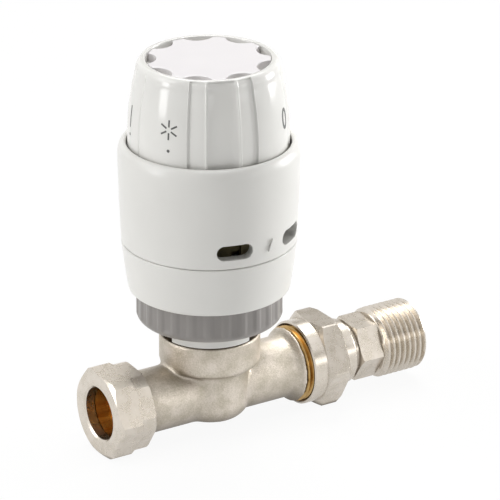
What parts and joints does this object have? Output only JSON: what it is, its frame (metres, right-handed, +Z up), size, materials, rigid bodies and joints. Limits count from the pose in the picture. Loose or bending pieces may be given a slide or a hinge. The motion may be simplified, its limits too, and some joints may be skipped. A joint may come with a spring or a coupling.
{
  "type": "thermostatic radiator valve",
  "caption": "Straight thermostatic radiator valve with a turning temperature dial, a pipe compression inlet and a threaded union tail.",
  "frame": {"origin": "centre of the inlet mouth, on the pipe axis at the compression nut's front face", "axes": "+X along the pipe from the inlet to the tail thread, +Z up along the head's axis"},
  "size_m": [0.1057, 0.0512, 0.1122],
  "materials": {
    "nickel_brass": "bright nickel plate on forged and turned brass, blasted on the forged body",
    "brass": "turned brass",
    "spring_steel": "drawn spring wire and stainless rod",
    "seal_rubber": "EPDM rubber",
    "washer_fibre": "fibre washer",
    "casing_plastic": "white moulded ABS",
    "dial_plastic": "white moulded ABS, glossy",
    "ring_plastic": "grey moulded nylon",
    "inner_plastic": "natural acetal",
    "sensor_metal": "pressed can"
  },
  "bodies": {
    "valve": {"valve_body": "nickel_brass", "olive": "brass", "tailpiece": "nickel_brass", "tail_washer": "washer_fibre", "bonnet": "brass", "bonnet_seal": "seal_rubber", "gland_nut": "brass", "gland_seal": "seal_rubber", "mounting_base": "casing_plastic", "lower_casing": "casing_plastic", "guide_tube": "inner_plastic", "upper_casing": "casing_plastic", "dial_retainer": "inner_plastic"},
    "inlet_nut": {"compression_nut": "nickel_brass"},
    "tail_nut": {"union_nut": "nickel_brass"},
    "head_ring": {"union_ring": "ring_plastic"},
    "dial_knob": {"dial": "dial_plastic", "dial_cap": "dial_plastic", "limit_pins": "inner_plastic"},
    "sensor": {"carriage": "inner_plastic", "sensor_can": "sensor_metal", "sensor_lid": "sensor_metal", "bellows": "brass"},
    "stem": {"spindle": "spring_steel", "spindle_clip": "spring_steel", "return_spring": "spring_steel", "disc_holder": "brass", "disc_seal": "seal_rubber", "thrust_cup": "inner_plastic", "overtravel_spring": "spring_steel", "pushrod": "inner_plastic"}
  },
  "joints": [
    {"name": "dial_turn", "type": "hinge", "parent": "valve", "child": "dial_knob", "pos_m": [0.037, 0, 0.09], "axis": [0, 0, 1], "range_deg": [-23, 292]},
    {"name": "sensor_slide", "type": "slide", "parent": "valve", "child": "sensor", "axis": [0, 0, 1], "range_m": [-0.00032, 0.00406], "deforming": ["bellows"]},
    {"name": "spindle_lift", "type": "slide", "parent": "valve", "child": "stem", "axis": [0, 0, 1], "range_m": [-0.00016, 0.00203], "deforming": ["return_spring"]},
    {"name": "inlet_nut_turn", "type": "hinge", "parent": "valve", "child": "inlet_nut", "pos_m": [0.006, 0, 0], "axis": [1, 0, 0], "continuous": true},
    {"name": "tail_nut_turn", "type": "hinge", "parent": "valve", "child": "tail_nut", "pos_m": [0.071, 0, 0], "axis": [1, 0, 0], "continuous": true},
    {"name": "head_ring_turn", "type": "hinge", "parent": "valve", "child": "head_ring", "pos_m": [0.037, 0, 0.027], "axis": [0, 0, 1], "continuous": true}
  ],
  "couplings": [
    {"joint": "sensor_slide", "follows": "dial_turn", "m_per_rad": 0.00079577},
    {"joint": "spindle_lift", "follows": "dial_turn", "m_per_rad": 0.00039789}
  ]
}
